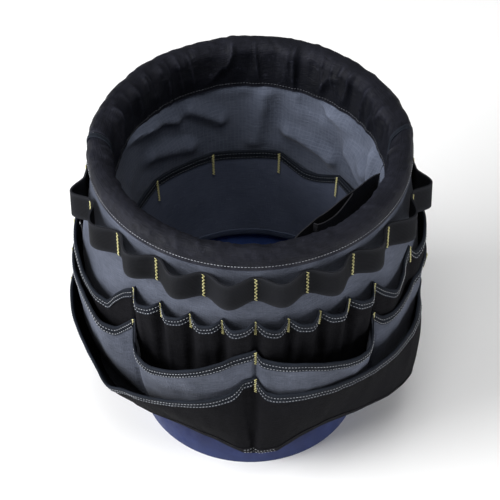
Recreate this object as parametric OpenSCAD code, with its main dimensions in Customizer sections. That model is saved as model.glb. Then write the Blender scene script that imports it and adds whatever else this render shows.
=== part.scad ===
// Tool bucket organizer: a fabric organizer with tool loops and pockets, seated over the rim of an open pail.
// Millimetres, +Z up. The origin is the middle of the pail's foot. The front seam is at -Y.

/* [Pail] */
// Height of the pail up to the top of its lip
pail_h = 350; // [330:1:370]
// Outer radius of the wall at the foot
pail_foot_r = 118; // [112:0.5:120]
// Outer radius of the wall at the top
pail_top_r = 143; // [141:0.5:144]
// Outer radius of the lip
lip_r = 147; // [146:0.1:147.2]
// Thickness of the pail's wall
pail_wall = 2; // [1.5:0.1:2.5]
// Height of the floor's underside above the surface the pail stands on
floor_lift = 4; // [2:0.5:8]

/* [Rim roll] */
// Radius from the pail's axis to the middle of the padded roll
roll_r = 149.5; // [149:0.1:150.5]
// Outer radius of the padded roll's round top
roll_tube = 11; // [10:0.1:12]
// Height of the roll's middle above the pail's lip
roll_lift = 2; // [1.5:0.1:3]
// How far the black cover hangs down inside the pail
cover_drop = 39; // [30:1:50]
// Azimuth of the side slits, counted from the front seam
slit_azimuth = 96; // [92:1:100]
// Width of a side slit
slit_gap = 3; // [2:0.5:5]

/* [Outer skirt] */
// Thickness of one fabric layer
cloth = 1.0; // [0.8:0.1:1.2]
// Height of the hem at the seams
hem_z = 58; // [55:1:70]
// How much higher the hem is between the front seam and a side seam
hem_rise = 22; // [8:1:24]
// Height of a bound edge
binding_h = 11; // [8:0.5:14]

/* [Tool loops] */
// Number of loops in the webbing round the skirt
loop_count = 20; // [16:4:20]
// Width of the webbing
webbing_w = 32; // [25:1:34]
// Thickness of the webbing
webbing_t = 1.8; // [1.5:0.1:2.2]
// Height of the webbing's lower edge
webbing_z = 300; // [298:1:303]
// How far a loop at the front or back stands off the skirt
loop_bulge_front = 10; // [8:0.5:13]
// How far a loop at the side stands off the skirt
loop_bulge_side = 14; // [10:0.5:16]

/* [Outer pockets] */
// Height of the upper pocket row's bound edge at its seams
upper_z = 269; // [262:1:274]
// Height of the middle pocket row's bound edge at its seams
middle_z = 226; // [220:1:232]
// Height of the lower pocket row's bound edge at its seams
lower_z = 182; // [176:1:190]

/* [Lining] */
// Height of the lining's hem
lining_z = 106; // [80:1:120]
// Height of the lining pockets' bound edge
lining_pocket_z = 226; // [200:1:240]
// How far a lining pocket stands off the lining
lining_bulge = 5; // [3:0.5:8]
// Height of the black inside pocket's edge
black_pocket_z = 299; // [280:1:303]
// How far the black inside pocket stands off the lining
black_pocket_bulge = 46; // [30:1:48]

/* [Hidden] */

$fn = 96;
gap = 1.2;            // free space between neighbouring fabric layers, which their bindings fit in
roll_z = pail_h + roll_lift;
cover_t = 1.2;
front_seam = -90;
quarter = 90;
bartack_w = 1.8;
wall_slope = atan((pail_top_r - pail_foot_r) / pail_h);

layer = gap + cloth;

// The rows repeat on the back half, so their tables hold the front half: from the left side seam at -180
// degrees, over the front seam at -90, to the right side seam at 0.
upper_step = 11.75;
corner = 4 * upper_step;                       // from the front seam to the corner seams
UPPER_SEAMS = concat([-180], [for (i = [-4:4]) front_seam + i * upper_step], [-21.5, 0]);
UPPER_BULGE = [11, 8, 9, 8, 9, 9, 8, 9, 8, 9, 8];
MIDDLE_SEAMS = [-180, front_seam - corner, front_seam, front_seam + corner, 0];
MIDDLE_BULGE = [18, 27, 22, 16];
LOWER_SEAMS = [-180, front_seam, 0];
LOWER_BULGE = [28, 20];
LOWER_SAG = [30, 15];

// Every outer layer is sampled at the same azimuths, so that layers can't cross between samples.
sample_step = 4.35;
trim = 0.25;          // degrees that a half panel stops short of a side seam
HALF = concat(
    [for (i = [0:len(UPPER_SEAMS) - 2])
        let (a = UPPER_SEAMS[i], w = UPPER_SEAMS[i + 1] - a, n = ceil(w / sample_step))
        for (k = [0:n - 1]) a + w * k / n],
    [0]);
HALF_PANEL = [for (a = HALF) min(-trim, max(trim - 180, a))];
RING = [for (turn = [0, 180], a = HALF) if (a < 0) a + turn];

// ---- surfaces of the outer rows, as radius for an azimuth and a height ----

function wrap(a) = a > 0 ? a - 180 : a;

// Which pocket of a row azimuth a falls in, how far across it as 0 to 1, and how full it is there.
function pocket(a, seams) = max([for (k = [0:len(seams) - 2]) if (seams[k] <= wrap(a) + 0.001) k]);
function across(a, seams) =
    let (i = pocket(a, seams)) (wrap(a) - seams[i]) / (seams[i + 1] - seams[i]);
function bump(a, seams, power) = pow(max(0, sin(180 * across(a, seams))), power);

function side(a) = pow(abs(cos(a)), 4.5);      // 1 at the side seams, 0 at the front seam

function skirt_r(a, z) =
    lookup(z, [[hem_z, 150.8], [140, 151.2], [middle_z, 152], [upper_z, 154.2], [webbing_z, 154.8],
        [pail_h - 6, 157.4]])
    + side(a) * lookup(z, [[hem_z, 13], [140, 21], [middle_z, 22], [upper_z, 17], [webbing_z, 10],
        [pail_h - 6, 0]]);

// How far a pocket of a row has opened at height z, when it is closed at z0 and fully open at z1.
function opened(z, z0, z1) = pow(sin(90 * min(1, max(0, (z - z0) / (z1 - z0)))), 0.8);

upper_bottom = 148;
middle_bottom = 104;

function upper_top(a) = upper_z - 5 * bump(a, UPPER_SEAMS, 1);
function middle_top(a) = middle_z - 9 * bump(a, MIDDLE_SEAMS, 0.8);
function lower_top(a) = lower_z - LOWER_SAG[pocket(a, LOWER_SEAMS)] * bump(a, LOWER_SEAMS, 0.7);
function hem_top(a) =
    let (from_seam = abs(wrap(a) - front_seam))
    hem_z + hem_rise * sin(180 * pow(max(0, from_seam - 6) / 84, 0.6));

function upper_r(a, z) =
    skirt_r(a, z) + layer
    + UPPER_BULGE[pocket(a, UPPER_SEAMS)] * bump(a, UPPER_SEAMS, 0.8) * opened(z, upper_bottom, upper_z);

function middle_r(a, z) =
    max(z < upper_bottom ? 0 : upper_r(a, z) + layer,
        skirt_r(a, z) + layer * lookup(z, [[middle_bottom, 1], [upper_bottom, 2]])
        + MIDDLE_BULGE[pocket(a, MIDDLE_SEAMS)] * bump(a, MIDDLE_SEAMS, 0.7)
        * opened(z, middle_bottom, middle_z));

function lower_r(a, z) =
    max(z < middle_bottom ? 0 : middle_r(a, z) + layer,
        skirt_r(a, z) + layer * lookup(z, [[hem_z, 1], [middle_bottom, 2], [upper_bottom, 3]])
        + LOWER_BULGE[pocket(a, LOWER_SEAMS)] * bump(a, LOWER_SEAMS, 0.55)
        * opened(z, hem_top(a) + 1, lower_z - LOWER_SAG[pocket(a, LOWER_SEAMS)]));

// ---- builders ----

// A closed solid through radial sections: section(a) gives its [radius, height] points at azimuth a, as one
// path over its outer side and then the same number of points back along its inner side.
module sweep(azimuths, section, closed = false) {
    rings = [for (a = azimuths) [for (p = section(a)) [p[0] * cos(a), p[0] * sin(a), p[1]]]];
    m = len(rings[0]);
    n = len(rings);
    // Each quad is split from its lower corner here to its upper corner there, so that layers whose quads
    // run alongside each other don't cross.
    faces = concat(
        [for (i = [0:(closed ? n - 1 : n - 2)], k = [0:m - 1])
            let (j = (i + 1) % n, l = (k + 1) % m, rises = rings[i][l][2] >= rings[i][k][2])
            each rises
                ? [[i * m + k, j * m + k, j * m + l], [i * m + k, j * m + l, i * m + l]]
                : [[i * m + k, j * m + k, i * m + l], [j * m + k, j * m + l, i * m + l]]],
        closed ? [] : [for (k = [0:m / 2 - 2], end = [0, (n - 1) * m], tri = [0, 1])
            let (t = tri == 0 ? [k, k + 1, m - 2 - k] : [k, m - 2 - k, m - 1 - k])
            [for (v = end == 0 ? t : [t[2], t[1], t[0]]) end + v]]);
    polyhedron(points = [for (r = rings) each r], faces = faces, convexity = 10);
}

// Section of a fabric layer through the given heights, whose outer face is at radius r(a, z).
function sheet(a, r, t, heights) = concat(
    [for (z = heights) [r(a, z), z]],
    [for (k = [len(heights) - 1:-1:0]) [r(a, heights[k]) - t, heights[k]]]);

function levels(z0, z1, steps) = [for (k = [0:steps]) z0 + (z1 - z0) * k / steps];

// Heights for a panel with a binding on its top edge, and straight along that binding.
function bound_levels(z0, top, steps) = concat(levels(z0, top - binding_h, steps), [top]);

// Section of a tape folded over a fabric layer's top edge: a thin channel, open downwards.
function channel(a, r, t, z1, h) =
    let (wall = 0.9, play = 0.1, top = z1 + play)
    [
        [r(a, z1 - h) + play + wall, z1 - h], [r(a, z1) + play + wall, top + wall],
        [r(a, z1) - t - play - wall, top + wall], [r(a, z1 - h) - t - play - wall, z1 - h],
        [r(a, z1 - h) - t - play, z1 - h], [r(a, z1) - t - play, top],
        [r(a, z1) + play, top], [r(a, z1 - h) + play, z1 - h]
    ];

// Radius at which the webbing's inner face lies on the skirt.
function webbing_seat(a) = max(skirt_r(a, webbing_z), skirt_r(a, webbing_z + webbing_w)) + gap / 2;

// A webbing strip in plan. It lies flat on the skirt for a few millimetres at each bartack and bows out
// between bartacks. a0 is the azimuth of its first bartack.
module webbing_plan(a0, count) {
    pitch = 360 / loop_count;
    flat = 0.05;                      // flat share of a loop at each of its ends
    SHARES = [0, flat, 0.14, 0.26, 0.38, 0.5, 0.62, 0.74, 0.86, 1 - flat];
    shares = concat([for (i = [0:count - 1], u = SHARES) i + u], [count]);
    function stand(u) = let (v = (u - floor(u) - flat) / (1 - 2 * flat))
        pow(sin(180 * min(1, max(0, v))), 0.75);
    function azimuth(u) = a0 + min(count * pitch - trim, max(trim, u * pitch));
    function face(u) = let (a = azimuth(u))
        webbing_seat(a) + (loop_bulge_front + (loop_bulge_side - loop_bulge_front) * side(a)) * stand(u);
    polygon(concat(
        [for (u = shares) face(u) * [cos(azimuth(u)), sin(azimuth(u))]],
        [for (k = [len(shares) - 1:-1:0])
            let (u = shares[k]) (face(u) + webbing_t) * [cos(azimuth(u)), sin(azimuth(u))]]));
}

// One bartack: a short upright bar of stitching at azimuth a, standing on radius r.
module bartack(a, r, z, h) {
    rotate([0, 0, a]) translate([r, -bartack_w / 2, z]) cube([0.8, bartack_w, h]);
}

// A ring sector of a section drawn in the XZ plane.
module turned(from, to) {
    rotate([0, 0, from]) rotate_extrude(angle = to - from, $fn = 180) children();
}

// ---- the pail ----

module pail_section() {
    slope = (pail_top_r - pail_foot_r) / pail_h;
    foot_in = pail_foot_r - pail_wall;
    floor_t = 2.5;
    lip_drop = 11;
    rib_t = 1.8;
    rib_w = 4;
    top_in = pail_top_r - pail_wall;
    polygon([
        [pail_foot_r, 0], [pail_top_r, pail_h - 2], [lip_r - 1.8, pail_h - 2],
        [lip_r - 1.8, pail_h - lip_drop], [lip_r, pail_h - lip_drop], [lip_r, pail_h - 1],
        [lip_r - 1, pail_h], [top_in, pail_h],
        [foot_in + slope * (floor_lift + floor_t + 3), floor_lift + floor_t + 3],
        [foot_in - 3, floor_lift + floor_t], [0, floor_lift + floor_t], [0, floor_lift],
        [foot_in - 3, floor_lift], [foot_in, 0]
    ]);
    for (z = [pail_h - 34, pail_h - 52])
        translate([pail_foot_r + slope * z - 1, z]) square([rib_w + 1, rib_t]);
}

module pail() {
    color("royalblue") rotate_extrude($fn = 180) pail_section();
}

// ---- the rim roll ----

straight = 8;         // height of the cover's straight stretch below the middle of the roll

function roll_arc(r, from, to) =
    [for (i = [0:16]) let (t = from + (to - from) * i / 16) [roll_r + r * cos(t), roll_z + r * sin(t)]];

// The cover's cloth: up the outside, over the top, and down inside the pail.
module cover_section() {
    inner = roll_r - roll_tube;
    outer = roll_r + roll_tube;
    polygon(concat(
        [[outer, roll_z - straight]],
        roll_arc(roll_tube, 0, 180),
        [[inner, roll_z - straight], [inner - 2, roll_z - cover_drop],
            [inner - 2 + cover_t, roll_z - cover_drop], [inner + cover_t, roll_z - straight]],
        roll_arc(roll_tube - cover_t, 180, 0),
        [[outer - cover_t, roll_z - straight]]
    ));
}

// The padding fills the cover above the lip and above the skirt's top edge.
module padding_section() {
    reach = 2 * roll_tube;
    difference() {
        translate([roll_r, roll_z]) circle(r = roll_tube - cover_t - gap);
        translate([roll_r - reach, roll_z - reach])
            square([lip_r + gap - roll_r + reach, pail_h + gap - roll_z + reach]);
        translate([roll_r - reach, pail_h - 2.4 - reach]) square([2 * reach, reach]);
    }
}

slit_half = slit_gap / 2 / roll_r * 180 / PI;

module half_turn(back) {
    reach = slit_azimuth - slit_half;
    if (back) turned(front_seam + slit_azimuth + slit_half, front_seam + 360 - slit_azimuth - slit_half)
        children();
    else turned(front_seam - reach, front_seam + reach) children();
}

module rim_cover(back) {
    color([0.10, 0.10, 0.12]) half_turn(back) cover_section();
}

module rim_padding(back) {
    color([0.35, 0.35, 0.37]) half_turn(back) padding_section();
}

// The tape that closes the cover's raw edge along a side slit, laid flat on the front half's end.
module slit_binding(azimuth, toward) {
    tape = 5;
    tape_t = 0.8;
    spread = tape / roll_r * 180 / PI;
    low = roll_z - cover_drop + 2;
    color([0.07, 0.07, 0.08])
    turned(toward < 0 ? azimuth - spread : azimuth, toward < 0 ? azimuth : azimuth + spread)
        difference() {
            translate([roll_r, roll_z]) circle(r = roll_tube + gap / 2 + tape_t);
            translate([roll_r, roll_z]) circle(r = roll_tube + gap / 2);
            translate([roll_r - 2 * roll_tube, low - 50]) square([4 * roll_tube, roll_z - low + 50]);
        }
}

// ---- the outer skirt, its loops and its pocket rows ----

module outer_skirt() {
    color([0.40, 0.43, 0.49])
    sweep(RING, function(a) sheet(a, function(a, z) skirt_r(a, z), cloth,
        [hem_top(a) + 1, 140, middle_z, upper_z, webbing_z, pail_h - 3]), closed = true);
}

// A tape folded round the lower edge of the skirt and of the lower pocket row together.
module skirt_hem_binding() {
    wall = 0.9;
    play = 0.1;
    color([0.10, 0.10, 0.12])
    sweep(RING, function(a)
        let (low = hem_top(a) + 1, high = low + binding_h,
            in0 = skirt_r(a, low) - cloth - play, in1 = skirt_r(a, high) - cloth - play,
            out0 = lower_r(a, low) + play, out1 = lower_r(a, high) + play)
        [
            [out1, high], [out0, low - play], [in0, low - play], [in1, high],
            [in1 - wall, high], [in0 - wall, low - play - wall],
            [out0 + wall, low - play - wall], [out1 + wall, high]
        ], closed = true);
}

module loop_webbing(a0) {
    color([0.13, 0.14, 0.15])
    translate([0, 0, webbing_z]) linear_extrude(webbing_w) webbing_plan(a0, loop_count / 4);
}

module pocket_panel(back, r, z0, top, steps) {
    rotate([0, 0, back ? 180 : 0])
        sweep(HALF_PANEL, function(a) sheet(a, r, cloth, bound_levels(z0(a), top(a), steps)));
}

module pocket_binding(back, r, top) {
    color([0.12, 0.12, 0.14]) rotate([0, 0, back ? 180 : 0])
        sweep(HALF_PANEL, function(a) channel(a, r, cloth, top(a), binding_h));
}

UPPER_R = function(a, z) upper_r(a, z);
MIDDLE_R = function(a, z) middle_r(a, z);
LOWER_R = function(a, z) lower_r(a, z);
UPPER_TOP = function(a) upper_top(a);
MIDDLE_TOP = function(a) middle_top(a);
LOWER_TOP = function(a) lower_top(a);

module upper_pocket_panel(back) {
    color([0.09, 0.09, 0.10]) pocket_panel(back, UPPER_R, function(a) upper_bottom, UPPER_TOP, 3);
}

module middle_pocket_panel(back) {
    color([0.33, 0.36, 0.41]) pocket_panel(back, MIDDLE_R, function(a) middle_bottom, MIDDLE_TOP, 4);
}

module lower_pocket_panel(back) {
    color([0.11, 0.11, 0.12]) rotate([0, 0, back ? 180 : 0])
        sweep(HALF_PANEL, function(a) let (low = hem_top(a) + 1)
            sheet(a, LOWER_R, cloth, concat([low], bound_levels(low + binding_h, lower_top(a), 3))));
}

// ---- inside the pail ----

function wall_in(z) = pail_foot_r - pail_wall + (pail_top_r - pail_foot_r) * z / pail_h;
function lining_r(z) = wall_in(z) - 0.7;        // the lining's outer face
lining_t = 1.2;
lining_top = roll_z - cover_drop - 0.6;

module lining(back) {
    color([0.42, 0.45, 0.52]) half_turn(back) polygon([
        [lining_r(lining_z), lining_z], [lining_r(lining_top), lining_top],
        [lining_r(lining_top) - lining_t, lining_top], [lining_r(lining_z) - lining_t, lining_z]
    ]);
}

// The lining pockets run from slit to slit. The front half is a little longer and has one pocket more.
slit_margin = 2;
function lining_from(back) = front_seam + (back ? slit_azimuth + slit_margin : slit_margin - slit_azimuth);
function lining_to(back) = front_seam + (back ? 360 - slit_azimuth - slit_margin : slit_azimuth - slit_margin);
function lining_pockets(back) = back ? 5 : 6;
function lining_width(back) = (lining_to(back) - lining_from(back)) / lining_pockets(back);
function lining_azimuths(back) = let (steps = 7 * lining_pockets(back))
    [for (k = [0:steps]) lining_from(back) + (lining_to(back) - lining_from(back)) * k / steps];
function lining_swell(a, back) = abs(sin(180 * (a - lining_from(back)) / lining_width(back)));

function lining_pocket_r(a, z, back) =
    lining_r(z) - lining_t - gap
    - lining_bulge * pow(lining_swell(a, back), 0.8) * opened(z, lining_z, lining_pocket_z);
function lining_pocket_top(a, back) = lining_pocket_z - 3 * lining_swell(a, back);

module lining_pocket_panel(back) {
    color([0.16, 0.19, 0.27])
    sweep(lining_azimuths(back), function(a) sheet(a, function(a, z) lining_pocket_r(a, z, back), lining_t,
        bound_levels(lining_z + 1, lining_pocket_top(a, back), 3)));
}

module lining_pocket_binding(back) {
    color([0.09, 0.09, 0.10])
    sweep(lining_azimuths(back), function(a) channel(a, function(a, z) lining_pocket_r(a, z, back), lining_t,
        lining_pocket_top(a, back), binding_h));
}

module lining_hem_binding() {
    r = lining_r(lining_z);
    color([0.08, 0.08, 0.09]) turned(0, 360) translate([r - 4.2, lining_z - 2.2]) square([4.6, 1.8]);
}

// The black inside pocket, on the right of the front: a main panel that bows away from the lining, and a
// divider behind it.
black_from = front_seam - 2;
black_to = 3;
divider_from = -50;
divider_to = -5;

function bow(a, from, to, power) = pow(max(0, sin(180 * (a - from) / (to - from))), power);

function black_main_r(a, z) =
    lining_r(z) - lining_t - gap - lining_bulge - 3.4
    - black_pocket_bulge * bow(a, black_from, black_to, 0.7) * opened(z, lining_z + 12, black_pocket_z);

function black_divider_r(a, z) = black_main_r(a, z) + cloth + 1 + 11 * bow(a, divider_from, divider_to, 0.8);

module black_panel(from, to, r, low) {
    n = 22;
    sag = 4;
    color([0.03, 0.03, 0.035])
    sweep([for (i = [0:n]) from + (to - from) * i / n], function(a)
        sheet(a, r, cloth, levels(low, black_pocket_z - sag * bow(a, from, to, 1), 4)));
}

// ---- bartacks ----

module loop_bartacks() {
    pitch = 360 / loop_count;
    color([0.78, 0.75, 0.45]) for (i = [0:loop_count - 1]) let (a = front_seam + i * pitch)
        bartack(a, webbing_seat(a) + webbing_t + 0.4, webbing_z + 2, webbing_w - 4);
}

module row_bartacks(seams, r, top, h) {
    color([0.78, 0.75, 0.45])
    for (half = [0, 180], i = [0:len(seams) - 2])
        let (a = seams[i], lift = a == -180 ? 3 : 2.4)
        rotate([0, 0, half]) bartack(a, r(a, top(a)) + lift, top(a) - h, h);
}

module lining_bartacks() {
    h = 30;
    z = lining_pocket_z - h;
    color([0.66, 0.63, 0.36])
    for (back = [false, true], i = [1:lining_pockets(back) - 1])
        let (a = lining_from(back) + i * lining_width(back))
        rotate([0, 0, a]) translate([lining_pocket_r(a, z, back) - lining_t - 2.5, -bartack_w / 2, z])
            rotate([0, wall_slope, 0]) cube([0.8, bartack_w, h]);
}

// ---- nodes ----

pail();
rim_padding(false);  // rim_padding_front
rim_padding(true);  // rim_padding_back
rim_cover(false);  // rim_cover_front
rim_cover(true);  // rim_cover_back
slit_binding(front_seam - slit_azimuth + slit_half, 1);  // slit_binding_left
slit_binding(front_seam + slit_azimuth - slit_half, -1);  // slit_binding_right
outer_skirt();
skirt_hem_binding();
loop_webbing(-quarter);  // loop_webbing_front_right
loop_webbing(-2 * quarter);  // loop_webbing_front_left
loop_webbing(quarter);  // loop_webbing_back_left
loop_webbing(0);  // loop_webbing_back_right
upper_pocket_panel(false);  // upper_pocket_panel_front
upper_pocket_panel(true);  // upper_pocket_panel_back
pocket_binding(false, UPPER_R, UPPER_TOP);  // upper_pocket_binding_front
pocket_binding(true, UPPER_R, UPPER_TOP);  // upper_pocket_binding_back
middle_pocket_panel(false);  // middle_pocket_panel_front
middle_pocket_panel(true);  // middle_pocket_panel_back
pocket_binding(false, MIDDLE_R, MIDDLE_TOP);  // middle_pocket_binding_front
pocket_binding(true, MIDDLE_R, MIDDLE_TOP);  // middle_pocket_binding_back
lower_pocket_panel(false);  // lower_pocket_panel_front
lower_pocket_panel(true);  // lower_pocket_panel_back
pocket_binding(false, LOWER_R, LOWER_TOP);  // lower_pocket_binding_front
pocket_binding(true, LOWER_R, LOWER_TOP);  // lower_pocket_binding_back
lining(false);  // lining_front
lining(true);  // lining_back
lining_pocket_panel(false);  // lining_pocket_panel_front
lining_pocket_panel(true);  // lining_pocket_panel_back
lining_pocket_binding(false);  // lining_pocket_binding_front
lining_pocket_binding(true);  // lining_pocket_binding_back
lining_hem_binding();
black_panel(black_from, black_to, function(a, z) black_main_r(a, z), lining_z + 12);  // black_pocket_panel
black_panel(divider_from, divider_to, function(a, z) black_divider_r(a, z), lining_z + 60);  // black_pocket_divider
loop_bartacks();
row_bartacks(UPPER_SEAMS, UPPER_R, UPPER_TOP, 24);  // upper_bartacks
row_bartacks(MIDDLE_SEAMS, MIDDLE_R, MIDDLE_TOP, 22);  // middle_bartacks
row_bartacks(LOWER_SEAMS, LOWER_R, LOWER_TOP, 20);  // lower_bartacks
lining_bartacks();
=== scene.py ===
"""The looks of the tool bucket organizer: cloth, webbing, tape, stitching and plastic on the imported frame."""
import math
from dataclasses import dataclass

import bpy
import numpy as np
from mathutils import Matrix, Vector


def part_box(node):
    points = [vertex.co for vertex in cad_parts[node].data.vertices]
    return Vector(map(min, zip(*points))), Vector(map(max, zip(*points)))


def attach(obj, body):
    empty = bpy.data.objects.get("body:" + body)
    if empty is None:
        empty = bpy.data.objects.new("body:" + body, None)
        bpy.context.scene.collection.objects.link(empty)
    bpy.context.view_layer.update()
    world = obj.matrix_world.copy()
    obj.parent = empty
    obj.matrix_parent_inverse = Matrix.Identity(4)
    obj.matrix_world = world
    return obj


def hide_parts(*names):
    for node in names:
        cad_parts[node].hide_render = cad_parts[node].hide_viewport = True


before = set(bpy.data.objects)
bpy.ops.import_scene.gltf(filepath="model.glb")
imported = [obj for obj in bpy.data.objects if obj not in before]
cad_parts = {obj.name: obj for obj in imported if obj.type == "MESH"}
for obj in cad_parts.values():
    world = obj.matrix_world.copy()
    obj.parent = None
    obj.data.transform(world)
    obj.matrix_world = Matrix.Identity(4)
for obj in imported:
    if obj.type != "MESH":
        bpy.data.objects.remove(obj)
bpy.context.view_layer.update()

ORGANIZER = "organizer"
MM = 0.001  # the shapes below are worked out in millimetres and degrees


# ---- heights that the frame gives, in millimetres ----

def span(node):
    """Heights of the node's lowest and highest points."""
    lowest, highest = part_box(node)
    return lowest.z / MM, highest.z / MM


PAIL_TOP = span("pail")[1]
COVER_LOW = span("rim_cover_front")[0]
WEBBING_LOW, WEBBING_HIGH = span("loop_webbing_front_left")
UPPER_LOW, UPPER_Z = span("upper_pocket_panel_front")
MIDDLE_LOW, MIDDLE_Z = span("middle_pocket_panel_front")
HEM_Z = span("lower_pocket_panel_front")[0]
LINING_LOW, LINING_HIGH = span("lining_front")
LINING_POCKET_Z = span("lining_pocket_panel_front")[1]
BLACK_LOW, BLACK_Z = span("black_pocket_panel")
DIVIDER_LOW = span("black_pocket_divider")[0]

# ---- layout, in millimetres and degrees ----

CLOTH = 1.0              # thickness of one fabric layer
TAPE = 0.9               # thickness of the binding tape
BINDING_H = 11.0         # height of a bound edge
HEM_TAPE_H = 10.0        # height of the tape on the hem
ROLL_TUBE = 10.8         # outer radius of the padded roll
ROLL_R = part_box("pail")[1].x / MM + 2.5   # from the axis to the middle of the roll, over the pail's lip
ROLL_Z = PAIL_TOP + 2.0
SLIT = 96.0              # azimuth of a side slit, counted from the front seam
SLIT_HALF = 0.45         # half a slit's width, in degrees
COVER_DROP = 43.0        # how far the cover hangs inside below the middle of the roll
COVER_CLEAR = 2.8        # how far it stands in from the lining there
END_RAISE = 2.5          # how far the front roll's right end stands above the back roll's
WEBBING_T = 1.8
LOOPS = 20
LOOP_DEPTH = 12.0        # how far a tool loop stands off the skirt
BARTACK_STAND = 1.4      # how far an outer bartack's middle stands off the pocket's face
SIDE_TACK = 3.0          # how far behind its side seam a bartack is, in degrees
BLACK_BOW = 54.0         # how far the black pocket bows away from the lining
FRONT = -90.0            # azimuth of the front seam
UPPER_STEP = 11.75       # width of a small upper pocket
CORNER = 4 * UPPER_STEP  # from the front seam to the corner seams
FINE = 0.75              # azimuth step of the fabric meshes


# ---- curves and noise ----

def through(points, x, column=1):
    """A smooth curve through the points that never overshoots them, at x."""
    table = np.array(points, float)
    xs, ys = table[:, 0], table[:, column]
    width = np.diff(xs)
    slope = np.diff(ys) / width
    tangent = np.concatenate([slope[:1], np.zeros(len(xs) - 2), slope[-1:]])
    same = slope[:-1] * slope[1:] > 0
    tangent[1:-1][same] = (2 * slope[:-1] * slope[1:])[same] / (slope[:-1] + slope[1:])[same]
    i = np.clip(np.searchsorted(xs, x) - 1, 0, len(xs) - 2)
    t = np.clip((x - xs[i]) / width[i], 0, 1)
    return (ys[i] * (1 + 2 * t) * (1 - t) ** 2 + ys[i + 1] * t * t * (3 - 2 * t)
            + width[i] * (tangent[i] * t * (1 - t) ** 2 - tangent[i + 1] * t * t * (1 - t)))


def ease(x, start, end):
    """0 before start, 1 after end, and smooth between them."""
    t = np.clip((x - start) / (end - start), 0, 1)
    return t * t * (3 - 2 * t)


def ripple(a, z, cell, seed):
    """Smooth noise from -1 to 1 over azimuths and heights, in cells of degrees and millimetres."""
    turn = round(360 / cell[0])
    rows = 64
    table = np.random.default_rng(seed).uniform(-1, 1, (turn, rows))
    x, y = np.broadcast_arrays(np.asarray(a, float) * turn / 360, np.asarray(z, float) / cell[1])
    i, j = np.floor(x).astype(int), np.floor(y).astype(int)
    s, t = ease(x - i, 0, 1), ease(y - j, 0, 1)
    corner = {(p, q): table[(i + p) % turn, (j + q) % rows] for p in (0, 1) for q in (0, 1)}
    return ((corner[0, 0] * (1 - s) + corner[1, 0] * s) * (1 - t)
            + (corner[0, 1] * (1 - s) + corner[1, 1] * s) * t)


def above(r, floor):
    """r where it is clear of floor, and else floor, with a rounded change between the two."""
    blend = 1.5
    return (r + floor + np.sqrt((r - floor) ** 2 + blend ** 2) - blend * np.exp(-((r - floor) / 6) ** 2)) / 2


def azimuths(start, end, step=FINE, seams=()):
    """Azimuths from start to end that step evenly between the seams."""
    stops = sorted({start, end, *[s for s in seams if start < s < end]})
    parts = [np.linspace(p, q, max(2, math.ceil((q - p) / step)) + 1)[:-1] for p, q in zip(stops, stops[1:])]
    return np.concatenate([*parts, [end]])


def round_points(a, r, z):
    """Points at those azimuths, radii and heights."""
    turn = np.radians(a)
    return np.stack(np.broadcast_arrays(r * np.cos(turn), r * np.sin(turn), z), axis=-1)


def outward(a):
    return round_points(a, 1.0, 0.0)


def wall(a, bottom, top, radius, rows):
    """A grid of cloth from bottom to top at those azimuths, where radius gives its outer face."""
    z = np.linspace(bottom + 0 * a, top + 0 * a, rows, axis=1)
    return round_points(a[:, None], radius(a[:, None], z), z)


# ---- the outer surfaces ----

def wrap(a):
    """The azimuth in the front half for any azimuth, as the back half is the front half turned round."""
    return (np.asarray(a, float) + 180) % 180 - 180


def side(a):
    """1 a little in front of the sides, 0 at the front and back. It drops off behind the side seams."""
    turn = np.radians(a)
    bulge = np.abs(np.cos(turn)) ** np.where(np.sin(turn) > 0, 60.0, 4.5)
    return bulge * (1 - 0.45 * ease(np.sin(turn), -0.17, 0))


# The hem, as azimuth, radius and height
HEM = [(-180, 167, 8), (-160, 162, 10), (-138, 151, 16), (-122, 148, 22), (-108, 148, 16), (-97, 150, 3),
       (-94, 151, 0), (-82, 151, 0), (-78, 150, 5), (-70, 148, 14), (-60, 149, 20), (-44, 158, 17),
       (-30, 172, 13), (-20, 178, 10), (0, 174, 8)]
# The skirt's radius by height at the front and back, and how much further out it is at the sides
SKIRT_BASE = [(HEM_Z, 150.8), (140, 151.2), (MIDDLE_Z, 152), (UPPER_Z, 154.2), (WEBBING_LOW, 154.8),
              (344, 157.4)]
SKIRT_SIDE = [(HEM_Z, 13), (140, 21), (MIDDLE_Z, 22), (UPPER_Z, 17), (WEBBING_LOW, 10), (344, 0)]


def hem_z(a):
    return HEM_Z + through(HEM, wrap(a), 2)


def skirt_r(a, z):
    base = through(SKIRT_BASE, z) + side(a) * through(SKIRT_SIDE, z)
    hem = through(HEM, wrap(a)) - 2.5
    folds = 0.7 * ripple(a, z, (9, 70), 1) + 0.35 * ripple(a + 0.1 * z, z, (4, 30), 2)
    quiet = ease(z, HEM_Z, 90) * (1 - 0.7 * ease(z, 290, 340))
    return hem + (base - hem) * ease(z, HEM_Z - 20, 150) + folds * quiet


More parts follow.
